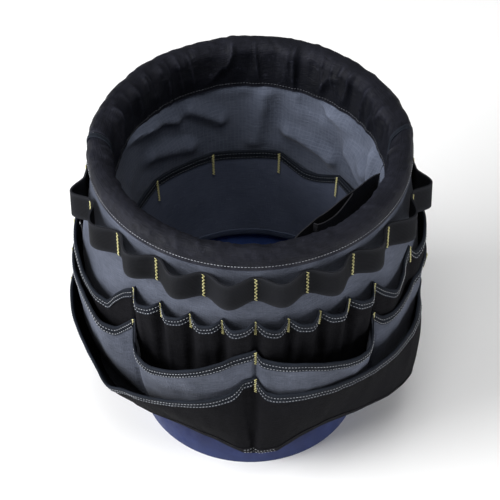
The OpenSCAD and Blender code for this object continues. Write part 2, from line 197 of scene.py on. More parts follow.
@dataclass
class Row:
    """A row of outer pockets: its bound edge as one list of (azimuth, radius, height) for each pocket."""
    name: str
    pockets: list
    bottom: object     # height of the panel's lower edge, for azimuths
    power: object      # how the panel swells upwards, for azimuths: 1 is straight, less has a belly
    seed: int
    under: object      # radius that the panel stays outside of, for azimuths and heights
    full: float = 0.3  # how squarely a pocket fills out beside its seams
    valleys: tuple = ()  # folds: azimuth, width to the left and to the right in degrees, and depth
    wedges: tuple = ()   # tucks left of a seam: azimuth, width at the bottom and at the top, and depth

    def seams(self):
        return [p[0][0] for p in self.pockets] + [self.pockets[-1][-1][0]]

    def number(self, w):
        """Which pocket an azimuth of the front half is in."""
        return np.clip(np.searchsorted(self.seams(), w, side="right") - 1, 0, len(self.pockets) - 1)

    def edge(self, a):
        """Radius and height of the bound edge at azimuth a."""
        w = wrap(a)
        r, z = np.zeros_like(w), np.zeros_like(w)
        for i, points in enumerate(self.pockets):
            here = self.number(w) == i
            r[here], z[here] = through(points, w[here]), through(points, w[here], 2)
        return r, z

    def fuller(self, a, t):
        """Where to read the edge for azimuth a, so that a pocket is full up to its seams."""
        w, seams = wrap(a), np.array(self.seams())
        i = self.number(w)
        width = seams[i + 1] - seams[i]
        left, right = w - seams[i], seams[i + 1] - w
        near = np.minimum(left, right)
        push = self.full * np.minimum(width, 14) * (1 - np.exp(-near)) * np.clip(1 - 2 * near / width, 0, 1)
        return w + np.where(left < right, push, -push) * np.clip(1 - t, 0, 1) ** 0.7

    def radius(self, a, z):
        """Radius of the pockets' outer face at azimuth a and height z."""
        _, top = self.edge(a)
        bottom = self.bottom(a)
        t = np.clip((z - bottom) / (top - bottom), 0, 1.1)
        r, _ = self.edge(self.fuller(a, t))
        low_r = skirt_r(a, z) + 2.2
        swell = (r - skirt_r(a, top) - 2.2) * t ** self.power(a)
        folds = (0.8 * ripple(a + 0.06 * z, z, (5, 34), self.seed)
                 + 0.5 * ripple(a, z, (2.4, 60), self.seed + 1))
        folds = folds * np.clip(swell / 8, 0, 1) * (1 - 0.6 * ease(t, 0.8, 1))
        height = np.clip(t, 0, 1)
        middle = np.sin(np.pi * height)
        for azimuth, left, right, depth in self.valleys:
            off = wrap(a) - azimuth
            folds = folds - depth * np.exp(-(off / np.where(off < 0, left, right)) ** 2) * middle ** 0.7
        for azimuth, low_width, top_width, depth in self.wedges:
            off = (azimuth - wrap(a)) / (low_width + (top_width - low_width) * height)
            folds = folds - depth * (off > 0) * (1 - ease(off, 0.6, 1.1)) * middle ** 0.4
        return above(low_r + swell + folds, self.under(a, z))


def small_pockets():
    """The eight small upper pockets: each sags most on its side away from the front seam."""
    shape = [(0, 0, 0), (0.14, 0.55, 0.6), (0.36, 1, 1), (0.66, 0.9, 0.7), (0.9, 0.4, 0.2), (1, 0, 0)]
    luck = np.random.default_rng(5)
    pockets = []
    for k in range(-4, 4):
        start = FRONT + k * UPPER_STEP
        points = shape if k < 0 else [(1 - t, r, z) for t, r, z in reversed(shape)]
        swell, sag = luck.uniform(7.5, 10), luck.uniform(6.5, 9)
        seam = 157.2 + 0.12 * (abs(k + 0.5) - 0.5) ** 2.6
        pockets.append([(start + t * UPPER_STEP, seam + swell * r, UPPER_Z - sag * z) for t, r, z in points])
    return pockets


def small_folds():
    """Grooves at the seams of the small upper pockets, and one fold down each pocket."""
    luck = np.random.default_rng(6)
    grooves = [(FRONT + k * UPPER_STEP, 1.5, 1.5, luck.uniform(2.5, 4.5)) for k in range(-3, 4)]
    folds = [(FRONT + (k + luck.uniform(0.35, 0.65)) * UPPER_STEP, 1.2, 2.2, luck.uniform(1.0, 2.4))
             for k in range(-4, 4)]
    return (*grooves, *folds)


UPPER = Row(
    "upper",
    [[(-180, 175, 266), (-172, 179, 262), (-164, 181, 255), (-159, 180, 241), (-152, 179, 238),
      (-147, 174, 236), (-143.5, 170, 251), (-140, 165, 263), (FRONT - CORNER, 162, 268)],
     *small_pockets(),
     [(FRONT + CORNER, 161, 268), (-39, 168, 254), (-34, 173, 244), (-29.5, 172, 251), (-25, 168, 261),
      (-21.5, 167, 268)],
     [(-21.5, 166, 268), (-19, 174, 256), (-14, 179, 263), (-6, 177, 267), (0, 173, 266)]],
    bottom=lambda a: UPPER_LOW, power=lambda a: 0.95, seed=11,
    under=lambda a, z: skirt_r(a, z) + 1.4, full=0.16, valleys=small_folds())

MIDDLE = Row(
    "middle",
    [[(-180, 180, 225), (-170, 184, 222), (-160, 184, 221), (-153, 184, 215), (-148, 181, 206),
      (-144, 174, 204), (-140, 167, 215), (FRONT - CORNER, 163, 226)],
     [(FRONT - CORNER, 163, 226), (-135, 170, 204), (-132, 176, 194), (-128, 180, 194), (-119, 183, 202),
      (-112, 181, 210), (-103, 172, 218), (-96, 162, 222), (FRONT, 158, 225)],
     [(FRONT, 158, 225), (-87.5, 162, 217), (-82, 169, 217), (-76, 175, 218), (-66, 180, 212),
      (-57, 181, 203), (-51, 179, 200), (-46.5, 172, 206), (FRONT + CORNER, 162, 225)],
     [(FRONT + CORNER, 162, 225), (-39, 168, 213), (-34, 172, 211), (-27, 174, 214), (-18, 175, 219),
      (-8, 176, 223), (0, 176, 225)]],
    bottom=lambda a: MIDDLE_LOW, power=lambda a: 0.75, seed=21,
    under=lambda a, z: np.where(z > UPPER_LOW, UPPER.radius(a, z), skirt_r(a, z)) + 1.6,
    valleys=((FRONT - CORNER + 0.6, 0.8, 2.4, 9), (FRONT + CORNER - 0.6, 2.4, 0.8, 8), (FRONT, 0.8, 1.2, 3)))

LOWER = Row(
    "lower",
    [[(-180, 183, 182), (-172, 188, 178), (-164, 191, 171), (-156, 192, 164), (-147, 194, 156),
      (-140.5, 195, 142), (-134, 192, 149), (-126, 190, 156), (-115, 184, 163), (-104, 175, 168),
      (-99, 169, 172), (-96.5, 164, 176), (-94, 160, 183), (FRONT, 158, 185)],
     [(FRONT, 158, 185), (-88, 163, 177), (-86, 167, 172), (-82, 171, 171), (-70, 176, 171),
      (-50, 181, 171), (-40, 184, 173), (-30, 185, 176), (-20, 182, 180), (-10, 177, 183), (0, 176, 182)]],
    bottom=hem_z, seed=31,
    power=lambda a: 0.88 - 0.4 * ease(wrap(a), -60, -25) - 0.42 * np.exp(-((wrap(a) - FRONT) / 10) ** 2),
    under=lambda a, z: skirt_r(a, z) + 1.6
    + ease(z, MIDDLE_LOW - 14, MIDDLE_LOW) * (MIDDLE.radius(a, np.maximum(z, MIDDLE_LOW)) - skirt_r(a, z)),
    valleys=((-97.5, 2.5, 2.5, -2), (-22, 12, 12, -6)), wedges=((FRONT, 1.3, 5.5, 14),))


# ---- meshes ----

def unit(v):
    return v / np.maximum(np.linalg.norm(v, axis=-1, keepdims=True), 1e-9)


def grid_normals(grid, closed=False):
    """The outward direction at each point of a grid that runs round the object and then upwards."""
    along = np.roll(grid, -1, 0) - np.roll(grid, 1, 0) if closed else np.gradient(grid, axis=0)
    return unit(np.cross(along, np.gradient(grid, axis=1)))


def lengths(line):
    """How far along a line each of its points is."""
    return np.concatenate([[0], np.cumsum(np.linalg.norm(np.diff(line, axis=0), axis=1))])


def thread_directions(grid):
    """Lengths along the cloth's two thread directions, in millimetres, for each point of a grid."""
    u = lengths(grid[:, grid.shape[1] // 2])
    v = np.cumsum(np.linalg.norm(np.diff(grid, axis=1), axis=2), axis=1)
    v = np.concatenate([np.zeros((len(grid), 1)), v], axis=1)
    return np.stack([np.broadcast_to(u[:, None], v.shape), v, np.zeros_like(v)], axis=-1)


def quads(a, b, c, d):
    return np.stack([a, b, c, d], axis=-1).reshape(-1, 4)


def shell_faces(n, m, closed):
    """Faces of a thin closed mesh with an outer and an inner grid of n by m points."""
    index = np.arange(n * m).reshape(n, m)
    if closed:
        index = np.concatenate([index, index[:1]])
    back = index + n * m
    faces = [quads(index[:-1, :-1], index[1:, :-1], index[1:, 1:], index[:-1, 1:]),
             quads(back[:-1, :-1], back[:-1, 1:], back[1:, 1:], back[1:, :-1]),
             quads(index[:-1, 0], back[:-1, 0], back[1:, 0], index[1:, 0]),
             quads(index[:-1, -1], index[1:, -1], back[1:, -1], back[:-1, -1])]
    if not closed:
        faces += [quads(index[0, :-1], index[0, 1:], back[0, 1:], back[0, :-1]),
                  quads(index[-1, :-1], back[-1, :-1], back[-1, 1:], index[-1, 1:])]
    return np.concatenate(faces)


def new_mesh(name, points, faces):
    mesh = bpy.data.meshes.new(name)
    mesh.from_pydata((points.reshape(-1, 3) * MM).tolist(), [], faces)
    return mesh


def put(name, data):
    made = bpy.data.objects.new(name, data)
    bpy.context.scene.collection.objects.link(made)
    return made


def add(mesh, look, replaces=()):
    """Puts a piece of the organizer in the scene, in its material."""
    mesh.materials.append(look)
    piece = put(mesh.name, mesh)
    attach(piece, ORGANIZER)
    if replaces:
        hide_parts(*replaces)
    return piece


def shell(name, grid, thickness, look, closed=False):
    """A layer of cloth that stands for the CAD node of that name: the grid is its outer face."""
    inner = grid - thickness * grid_normals(grid, closed)
    mesh = new_mesh(f"{name}_sewn", np.stack([grid, inner]), shell_faces(*grid.shape[:2], closed).tolist())
    threads = thread_directions(grid)
    attribute = mesh.attributes.new("cloth", "FLOAT_VECTOR", "POINT")
    attribute.data.foreach_set("vector", np.stack([threads, threads]).ravel())
    mesh.shade_smooth()
    mesh.set_sharp_from_angle(angle=math.radians(55))
    return add(mesh, look, [name])


def widened(grid, round_share, up_share=1.0):
    """The grid as it was cut: longer round the object and upwards by those shares."""
    turn = np.unwrap(np.arctan2(grid[..., 1], grid[..., 0]), axis=0) * round_share
    r = np.linalg.norm(grid[..., :2], axis=-1)
    return np.stack([r * np.cos(turn), r * np.sin(turn), grid[..., 2] * up_share], axis=-1)


def settle(grid, cut, held, cap, bending=0.3):
    """A grid of cloth crumpled by simulation: it has the size of the grid cut, it is held where held
    is true, and no point moves further than cap."""
    n, m = grid.shape[:2]
    frames = 15
    scene = bpy.context.scene
    index = np.arange(n * m).reshape(n, m)
    faces = quads(index[:-1, :-1], index[1:, :-1], index[1:, 1:], index[:-1, 1:]).tolist()
    mesh = new_mesh("settling", grid, faces)
    cloth = put("settling", mesh)
    cloth.shape_key_add(name="Basis")
    rest = cloth.shape_key_add(name="cut")
    rest.data.foreach_set("co", (cut * MM).ravel())
    rest.value = 0.0
    pins = cloth.vertex_groups.new(name="held")
    pins.add(np.flatnonzero(np.broadcast_to(held, (n, m)).ravel()).tolist(), 1.0, "REPLACE")
    modifier = cloth.modifiers.new("cloth", "CLOTH")
    settings = {"quality": 5, "mass": 0.2, "tension_stiffness": 25, "compression_stiffness": 25,
                "shear_stiffness": 8, "bending_stiffness": bending, "rest_shape_key": rest,
                "vertex_group_mass": "held"}
    for key, value in settings.items():
        setattr(modifier.settings, key, value)
    modifier.settings.effector_weights.gravity = 0.0
    modifier.collision_settings.use_collision = False
    modifier.point_cache.frame_start = 1
    modifier.point_cache.frame_end = frames
    for frame_number in range(1, frames + 1):
        scene.frame_set(frame_number)
    settled = np.empty(n * m * 3)
    cloth.evaluated_get(bpy.context.evaluated_depsgraph_get()).data.vertices.foreach_get("co", settled)
    bpy.data.objects.remove(cloth)
    bpy.data.meshes.remove(mesh)
    scene.frame_set(1)
    moved = settled.reshape(n, m, 3) / MM - grid
    length = np.linalg.norm(moved, axis=2, keepdims=True)
    return grid + moved * cap * np.tanh(length / cap) / np.maximum(length, 1e-6)


def crease(a, z, start, end, width, depth):
    """A soft fold from start to end, each an azimuth and a height, on a wall about 140 mm from the axis."""
    round_mm = math.radians(1) * 140
    along = np.array([(end[0] - start[0]) * round_mm, end[1] - start[1]])
    p, q = (a - start[0]) * round_mm, z - start[1]
    t = np.clip((p * along[0] + q * along[1]) / (along @ along), 0, 1)
    off = (p - t * along[0]) ** 2 + (q - t * along[1]) ** 2
    return depth * np.exp(-off / (2 * width ** 2))


def kept_between(grid, least, most):
    """The grid with each point's radius no less than least and no more than most."""
    r = np.linalg.norm(grid[..., :2], axis=-1)
    share = np.clip(r, least, most) / r
    return grid * np.stack([share, share, np.ones_like(share)], axis=-1)


# ---- stitching ----

# One stitch: along, across and up, as shares of its length, width and height
STITCH = np.array([(-0.5, 0, -0.2), (-0.3, -0.5, 0), (-0.3, 0, 1), (-0.3, 0.5, 0), (-0.3, 0, -0.4),
                   (0.3, -0.5, 0), (0.3, 0, 1), (0.3, 0.5, 0), (0.3, 0, -0.4), (0.5, 0, -0.2)])
STITCH_FACES = ([(0, 1 + k, 1 + (k + 1) % 4, 1 + (k + 1) % 4) for k in range(4)]
                + [(1 + k, 5 + k, 5 + (k + 1) % 4, 1 + (k + 1) % 4) for k in range(4)]
                + [(5 + k, 9, 9, 5 + (k + 1) % 4) for k in range(4)])


def sew(name, places, look, replaces=()):
    """A piece made of stitches. Each place holds some stitches' middles, directions and sizes."""
    middle, along, up, size = (np.concatenate(column) for column in zip(*places))
    across = unit(np.cross(up, along))
    local = STITCH[None] * size[:, None]
    points = (middle[:, None] + local[..., :1] * along[:, None] + local[..., 1:2] * across[:, None]
              + local[..., 2:] * up[:, None])
    first = range(0, len(STITCH) * len(middle), len(STITCH))
    faces = [[k + v for v in dict.fromkeys(face)] for k in first for face in STITCH_FACES]
    mesh = new_mesh(name, points, faces)
    mesh.shade_smooth()
    return add(mesh, look, replaces)


def seam(points, normals, pitch=3.2, size=(2.2, 0.8, 0.45)):
    """Places of the stitches along a line on the cloth."""
    s = lengths(points)
    at = np.arange(pitch / 2, s[-1] - pitch / 3, pitch)

    def sample(values, x):
        return np.stack([np.interp(x, s, values[:, k]) for k in range(3)], axis=1)

    along = unit(sample(points, at + 0.8) - sample(points, at - 0.8))
    return sample(points, at), along, unit(sample(normals, at)), np.broadcast_to(size, (len(at), 3))


def bartack(at, r, heights, facing=1, pitch=1.7):
    """Places of a bartack's upright zigzag from one height to another, on an outer (1) or inner (-1) face."""
    foot, head = round_points(at, r, heights)
    width = 2.9
    count = int(np.linalg.norm(head - foot) / pitch)
    t = (np.arange(count) + 0.5)[:, None] / count
    up = unit(head - foot)
    out = facing * outward(at[0])
    slant = np.where(np.arange(count) % 2 == 0, 1.0, -1.0)[:, None]
    along = unit(unit(np.cross(out, up)) * width + up * pitch * slant)
    size = np.broadcast_to((math.hypot(width, pitch) * 1.15, 0.95, 0.7), (count, 3))
    return foot + (head - foot) * t, along, np.broadcast_to(out, (count, 3)), size


# ---- materials ----

def linear(level):
    return level / 255 / 12.92 if level <= 10 else ((level / 255 + 0.055) / 1.055) ** 2.4


def srgb(*levels):
    """A linear colour from 0 to 255 levels as a screen shows them."""
    return (*map(linear, levels), 1.0)


def plug(tree, socket, value):
    """Gives a node's input its value, or links it to another node's output."""
    if isinstance(value, bpy.types.NodeSocket):
        tree.links.new(value, socket)
    else:
        socket.default_value = value


def feed(tree, **values):
    """Plugs values into the main shader's inputs of those names."""
    for name, value in values.items():
        plug(tree, tree.nodes["Principled BSDF"].inputs[name.replace("_", " ")], value)


def node(tree, kind, *inputs, output=0, **settings):
    """Adds a shader node and returns one of its outputs. Settings in capitals are inputs by name."""
    made = tree.nodes.new("ShaderNode" + kind)
    for socket, value in zip(made.inputs, inputs):
        plug(tree, socket, value)
    for key, value in settings.items():
        if key[0].isupper():
            plug(tree, made.inputs[key], value)
        else:
            setattr(made, key, value)
    return made.outputs[output]


def math_node(tree, operation, *inputs):
    return node(tree, "Math", *inputs, operation=operation)


def ramp(tree, value, start, end, first=0.0, last=1.0):
    """Goes from first to last while the value goes from start to end."""
    return node(tree, "MapRange", value, start, end, first, last)


def mix(tree, share, colour, other, **settings):
    return node(tree, "MixRGB", share, colour, other, **settings)


def noise(tree, place, scale, detail, rough=0.5):
    return node(tree, "TexNoise", place, Scale=scale, Detail=detail, Roughness=rough)


def new_look(name, rough, specular, sheen=0.0):
    """A material, its node tree, and the place of a shaded point in its object."""
    look = bpy.data.materials.new(name)
    look.use_nodes = True
    tree = look.node_tree
    feed(tree, Roughness=rough, Specular_IOR_Level=specular, Sheen_Weight=sheen)
    return look, tree, node(tree, "TexCoord", output=3)


def cloth_place(tree):
    """The place of a shaded point on its cloth, as a vector, and its two lengths in millimetres."""
    cloth = node(tree, "Attribute", output=1, attribute_name="cloth")
    split = node(tree, "SeparateXYZ", cloth).node
    return cloth, split.outputs[0], split.outputs[1]


def worn(tree, start, end, share):
    """How worn an edge or fold is, from 0 to share, by how far it stands out."""
    return ramp(tree, node(tree, "NewGeometry", output=7), start, end, 0.0, share)


def paler(colour, times):
    return (*(min(1.0, times * x + 0.004) for x in colour[:3]), 1.0)


def waves(tree, socket, pitch):
    """A sine from -1 to 1 along a length in millimetres."""
    return math_node(tree, "SINE", math_node(tree, "MULTIPLY", socket, 2 * math.pi / pitch))


def lines(tree, socket, pitch, half_width):
    """1 on thin lines, a pitch apart along a length in millimetres, else 0."""
    off = math_node(tree, "PINGPONG", math_node(tree, "DIVIDE", socket, pitch), 0.5)
    return ramp(tree, off, half_width * 0.5 / pitch, half_width * 1.4 / pitch, 1.0, 0.0)


def thread_noise(tree, cloth, share):
    """Uneven yarns: noise that is long along one thread direction and narrow across it, from 0 to 1."""
    stretched = node(tree, "VectorMath", cloth, share, operation="MULTIPLY")
    return ramp(tree, noise(tree, stretched, 1.0, 3.0), 0.32, 0.68)


def fabric(name, colour, light, rough=0.85, gloss=0.04, sheen=0.0, bump=1.0, yarn=0.75, wear=0.3, flecks=0.15,
           ripstop=None, fade_and_painted_shade=None):
    """Woven cloth: uneven crossing yarns, a ripstop grid if asked for, uneven dye, paler folds and flecks.
    Past a given length up the cloth, in millimetres, it is drawn darker: painted shade on the inside of the rim
    roll."""
    look, tree, place = new_look(name, rough, gloss, sheen)
    cloth, u, v = cloth_place(tree)
    yarns = math_node(tree, "MULTIPLY_ADD", thread_noise(tree, cloth, (yarn, 0.09, 1)), 0.45,
                      thread_noise(tree, cloth, (0.09, yarn, 1)))
    uneven = noise(tree, place, 22.0, 5.0, 0.6)
    tone = ramp(tree, uneven, 0.3, 0.7, 0.0, 0.5)
    tone = math_node(tree, "MULTIPLY_ADD", yarns, 0.33, tone)
    height = yarns
    if ripstop:
        grid = math_node(tree, "MAXIMUM", lines(tree, u, ripstop, 0.45), lines(tree, v, ripstop, 0.45))
        tone = math_node(tree, "MULTIPLY_ADD", grid, 0.22, tone)
        height = math_node(tree, "MULTIPLY_ADD", grid, 0.6, height)
    # Painted shade: past that length up the cloth, it is drawn darker.
    if fade_and_painted_shade:
        tone = math_node(tree, "MULTIPLY", tone, ramp(tree, v, fade_and_painted_shade, fade_and_painted_shade + 9, 1.0, 0.6))
    base = mix(tree, tone, colour, light, use_clamp=True)
    speck = noise(tree, place, 160.0, 4.0, 0.7)
    pale = math_node(tree, "MULTIPLY_ADD", worn(tree, 0.505, 0.58, wear),
                     ramp(tree, speck, 0.35, 0.6, 0.3, 1.0),
                     ramp(tree, speck, 0.6, 0.7, 0.0, flecks))
    fine = node(tree, "Bump", Strength=bump, Distance=0.35 * MM, Height=height)
    feed(tree, Base_Color=mix(tree, pale, base, paler(light, 1.9)),
         Roughness=ramp(tree, uneven, 0.3, 0.7, rough - 0.08, min(1.0, rough + 0.1)),
         Normal=node(tree, "Bump", Strength=0.5, Distance=1.2 * MM, Height=uneven, Normal=fine))
    return look


def tape_look(name, colour, light, rib, bump=0.6):
    """Woven tape or webbing: ribs along its length, and cross threads between them."""
    look, tree, place = new_look(name, 0.78, 0.06)
    _, u, v = cloth_place(tree)
    height = math_node(tree, "MULTIPLY_ADD", waves(tree, u, rib * 0.6), 0.5, waves(tree, v, rib))
    uneven = noise(tree, place, 30.0, 5.0, 0.65)
    tone = math_node(tree, "ADD", ramp(tree, uneven, 0.3, 0.7, 0.0, 0.6),
                     ramp(tree, height, -1.5, 1.5, 0.0, 0.4))
    base = mix(tree, tone, colour, light, use_clamp=True)
    feed(tree, Base_Color=mix(tree, worn(tree, 0.51, 0.6, 0.4), base, paler(light, 2.2)),
         Roughness=ramp(tree, uneven, 0.3, 0.7, 0.68, 0.88),
         Normal=node(tree, "Bump", Strength=bump, Distance=0.3 * MM, Height=height))
    return look


def thread_look(name, colour, light):
    """Twisted sewing thread."""
    look, tree, place = new_look(name, 0.6, 0.35, 0.2)
    twist = noise(tree, place, 900.0, 2.0)
    fade_and_painted_shade = noise(tree, place, 40.0, 3.0)
    tone = math_node(tree, "ADD", ramp(tree, twist, 0.3, 0.7, 0.0, 0.5),
                     ramp(tree, fade_and_painted_shade, 0.35, 0.65, 0.0, 0.5))
    feed(tree, Base_Color=mix(tree, tone, colour, light, use_clamp=True),
         Normal=node(tree, "Bump", Strength=0.5, Distance=0.2 * MM, Height=twist))
    return look


def pail_look():
    """Moulded polyethylene: mottled, with pale rubbed patches and fine scratches, and paler inside as painted
    light.
    """
    look, tree, place = new_look("pail_plastic", 0.42, 0.1)
    cloud = noise(tree, place, 26.0, 6.0, 0.62)
    patch = noise(tree, place, 75.0, 4.0, 0.55)
    stretched = node(tree, "Mapping", place, Scale=(30.0, 30.0, 400.0))
    scratch = noise(tree, stretched, 1.0, 4.0, 0.7)
    blue = mix(tree, ramp(tree, cloud, 0.3, 0.7), srgb(13, 19, 52), srgb(20, 28, 66))
    rubbed = math_node(tree, "MULTIPLY", ramp(tree, cloud, 0.42, 0.6),
                       ramp(tree, patch, 0.42, 0.62, 0.0, 1.0))
    # Painted light: faces turned in towards the middle are drawn paler and bluer, mottled, to stand in for
    # light inside the pail.
    facing = node(tree, "VectorMath", node(tree, "NewGeometry"), node(tree, "NewGeometry", output=1),
                  operation="DOT_PRODUCT", output=1)
    painted_inside_light = math_node(tree, "MULTIPLY", ramp(tree, facing, 0.0, 0.03, 1.0, 0.0),
                        ramp(tree, cloud, 0.3, 0.7, 0.4, 1.0))
    # The third colour, srgb(64, 86, 142), is that painted light inside the pail.
    for share, colour in ((rubbed, srgb(38, 46, 83)),
                          (ramp(tree, scratch, 0.63, 0.7, 0.0, 0.5), srgb(58, 66, 104)),
                          (painted_inside_light, srgb(64, 86, 142)),
                          (worn(tree, 0.52, 0.6, 0.7), srgb(66, 77, 120))):
        blue = mix(tree, share, blue, colour)
    soft = node(tree, "Bump", Strength=0.3, Distance=0.6 * MM, Height=cloud)
    feed(tree, Base_Color=blue,
         Roughness=ramp(tree, patch, 0.3, 0.7, 0.34, 0.58),
         Normal=node(tree, "Bump", Strength=0.25, Distance=0.2 * MM, Height=scratch, Normal=soft))
    return look


def foam_look():
    """Open-cell foam."""
    look, tree, place = new_look("foam_padding", 0.95, 0.1)
    cells = node(tree, "TexVoronoi", place, Scale=700.0)
    feed(tree, Base_Color=mix(tree, cells, srgb(48, 48, 52), srgb(78, 78, 82)),
         Normal=node(tree, "Bump", Strength=0.7, Distance=0.8 * MM, Height=cells))
    return look


# The rim cloth is drawn darker past 42 mm up it, on the roll's inner side: painted shade.
RIM_LOOK = fabric("black_ripstop", srgb(4, 5, 8), srgb(30, 31, 40), 0.55, 0.1, yarn=0.95, wear=0.5,
                  flecks=0.4, fade_and_painted_shade=42)
BLACK_LOOK = fabric("black_canvas", srgb(8, 8, 10), srgb(25, 25, 28), 0.8, 0.03, wear=0.4)
INNER_BLACK_LOOK = fabric("inside_black_ripstop", srgb(14, 14, 15), srgb(36, 36, 40), 0.5, 0.12, bump=0.8,
                          yarn=0.7, ripstop=4.5)
GREY_LOOK = fabric("grey_canvas", srgb(52, 56, 66), srgb(90, 95, 109), sheen=0.06, wear=0.25)
LINING_LOOK = fabric("grey_ripstop", srgb(62, 68, 82), srgb(93, 99, 114), 0.7, sheen=0.06, bump=0.6, yarn=0.7,
                     ripstop=4.2)
SLATE_LOOK = fabric("slate_lining", srgb(65, 71, 88), srgb(87, 94, 112), 0.7, sheen=0.04, bump=0.6, yarn=0.9)
WEBBING_LOOK = tape_look("black_webbing", srgb(11, 12, 14), srgb(29, 30, 34), 1.9, bump=0.4)
BINDING_LOOK = tape_look("binding_tape", srgb(14, 17, 22), srgb(34, 38, 46), 1.4)
HEM_TAPE_LOOK = tape_look("lining_hem_tape", srgb(48, 54, 68), srgb(68, 75, 92), 1.4)
SEAM_LOOK = thread_look("seam_thread", srgb(100, 103, 110), srgb(166, 169, 174))
# A darker copy of the seam thread for the roll's inner seam: painted shade.
RIM_SEAM_PAINTED_SHADE_LOOK = thread_look("rim_seam_thread", srgb(50, 52, 58), srgb(88, 91, 98))
DARK_SEAM_LOOK = thread_look("dark_seam_thread", srgb(50, 54, 62), srgb(84, 90, 100))
BARTACK_LOOK = thread_look("bartack_thread", srgb(158, 152, 96), srgb(214, 208, 150))
PAIL_LOOK = pail_look()
FOAM_LOOK = foam_look()


def add_bartacks(name, tacks):
    sew(f"{name}_thread", tacks, BARTACK_LOOK, [name])


# ---- the pail ----

def dress_pail():
    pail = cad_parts["pail"].data
    pail.materials.clear()
    pail.materials.append(PAIL_LOOK)
    pail.shade_smooth()
    pail.set_sharp_from_angle(angle=math.radians(30))


# ---- the rim roll ----

def slit_lean(a, angle):
    """How far the roll's cloth is turned, so that the side slits cross the roll at a slant."""
    def near(slit):
        return np.exp(-(((a - slit + 180) % 360 - 180) / 16) ** 2)

    return ease(angle, 20, 175) * (3 * near(FRONT - SLIT) - 6 * near(FRONT + SLIT))


def cover_path(steps=24):
    """The cover's section as (radius, height): up the outside, over the roll and down inside, where it is
    flatter and runs straight on into the band in front of the lining."""
    outer, inner = ROLL_R + ROLL_TUBE, lining_r(ROLL_Z) - COVER_CLEAR
    up = [(outer - 0.2, ROLL_Z - 9), (outer, ROLL_Z - 4)]
    turn = [(ROLL_R + (outer - ROLL_R if math.cos(t) > 0 else ROLL_R - inner) * math.cos(t),
             ROLL_Z + ROLL_TUBE * math.sin(t)) for t in np.linspace(0, math.pi, steps)]
    down = [(inner - 3 * t, ROLL_Z - COVER_DROP * t) for t in np.linspace(0.05, 1, 20)]
    return np.array(up + turn + down)


def roll_angles(path):
    """The angle round the roll of each point of a section: 0 outside, 90 on top, 180 inside and below."""
    angle = np.degrees(np.arctan2(path[:, 1] - ROLL_Z, path[:, 0] - ROLL_R))[None]
    return np.where(angle < -90, 180, angle)


def build_rim(half, start, end):
    """The padded roll over the pail's lip on the front or back half."""
    path = cover_path()
    a = azimuths(start, end, 0.6)[:, None]
    r, z = path[None, :, 0], path[None, :, 1]
    angle = roll_angles(path)
    inner = (r < ROLL_R) & (z < ROLL_Z)
    top = (z >= ROLL_Z) * 1.0
    drape = (4.8 * np.maximum(0, 1 - 2.1 * np.abs(ripple(a + 0.04 * z, z, (7, 95), 41))) ** 1.6
             + 1.5 * np.maximum(0, 1 - 2.4 * np.abs(ripple(a - 0.05 * z, z, (5, 70), 42))) ** 1.5
             + 3.0 * np.maximum(0, ripple(a, z, (9, 120), 49)))
    behind = 0.2 + 0.8 * ease(np.sin(np.radians(a)), -0.35, 0.25)
    drape = drape * behind * ease(a, start, start + 8) * (1 - ease(a, end - 8, end))
    pucker = np.maximum(0, ripple(a, angle, (1.9, 60), 43)) ** 2 * ease(angle, 95, 150) * top
    dimple = 0.9 * ripple(a, angle, (5, 70), 44) + 0.65 * ripple(a + 0.04 * angle, angle, (2.2, 38), 45)
    swell = dimple * top - 1.5 * pucker + drape * ease(angle, 85, 165) * top
    wide = 2.5 * ease(np.cos(np.radians(a - 45)), 0.5, 1) * (1 - ease(angle, 70, 110)) * (1 - inner)
    out = np.stack([np.cos(np.radians(angle)), np.sin(np.radians(angle))])
    taper = 0.25 + 0.75 * ease(z, ROLL_Z - 40, ROLL_Z - 18)
    r = np.where(inner, lining_r(z) - COVER_CLEAR, r + 0 * a) + wide + swell * out[0] - drape * taper * inner
    low_edge = COVER_LOW - 3.5 + 3.2 * ripple(a, 0, (24, 50), 46)
    share = np.clip((ROLL_Z - z) / COVER_DROP, 0, 1) * inner
    raised = END_RAISE * ease(a, end - 14, end) * (half == "front") * (1 - share)
    z = z + swell * out[1] + share * (low_edge - (ROLL_Z - COVER_DROP)) + raised
    grid = round_points(a + slit_lean(a, angle), r, z)
    held = np.zeros(grid.shape[:2], bool)
    held[:, :3] = held[:, -3:] = held[:2] = held[-2:] = True
    grid = settle(grid, widened(grid, 1.035), held, 2.0, bending=2.0)
    grid = np.where(inner[..., None], kept_between(grid, 0, lining_r(grid[..., 2]) - 2.4), grid)
    cover = shell(f"rim_cover_{half}", grid, 1.2, RIM_LOOK)
    normals = grid_normals(grid)
    # The inner seam's thread is drawn darker than the outer one, as painted shade.
    for place, row, thread in (("outer", 1, SEAM_LOOK), ("inner", -3, RIM_SEAM_PAINTED_SHADE_LOOK)):
        stitches = seam(grid[:, row], normals[:, row], size=(2.4, 0.65, 0.4))
        sew(f"rim_{place}_stitching_{half}", [stitches], thread)


def build_padding(half, start, end):
    """The foam bead in the roll, cut away where it sits on the pail's lip."""
    a = azimuths(start + 0.4, end - 0.4, 2.0)[:, None]
    t = np.linspace(-0.15 * math.pi, 1.15 * math.pi, 21)[None]
    r = ROLL_R + (ROLL_TUBE - 4.5) * np.cos(t) + 0.2 * ripple(a, t * 20, (6, 12), 47)
    grid = round_points(a, r, ROLL_Z + (ROLL_TUBE - 4.5) * np.sin(t))
    foam = shell(f"rim_padding_{half}", grid, 3.0, FOAM_LOOK)


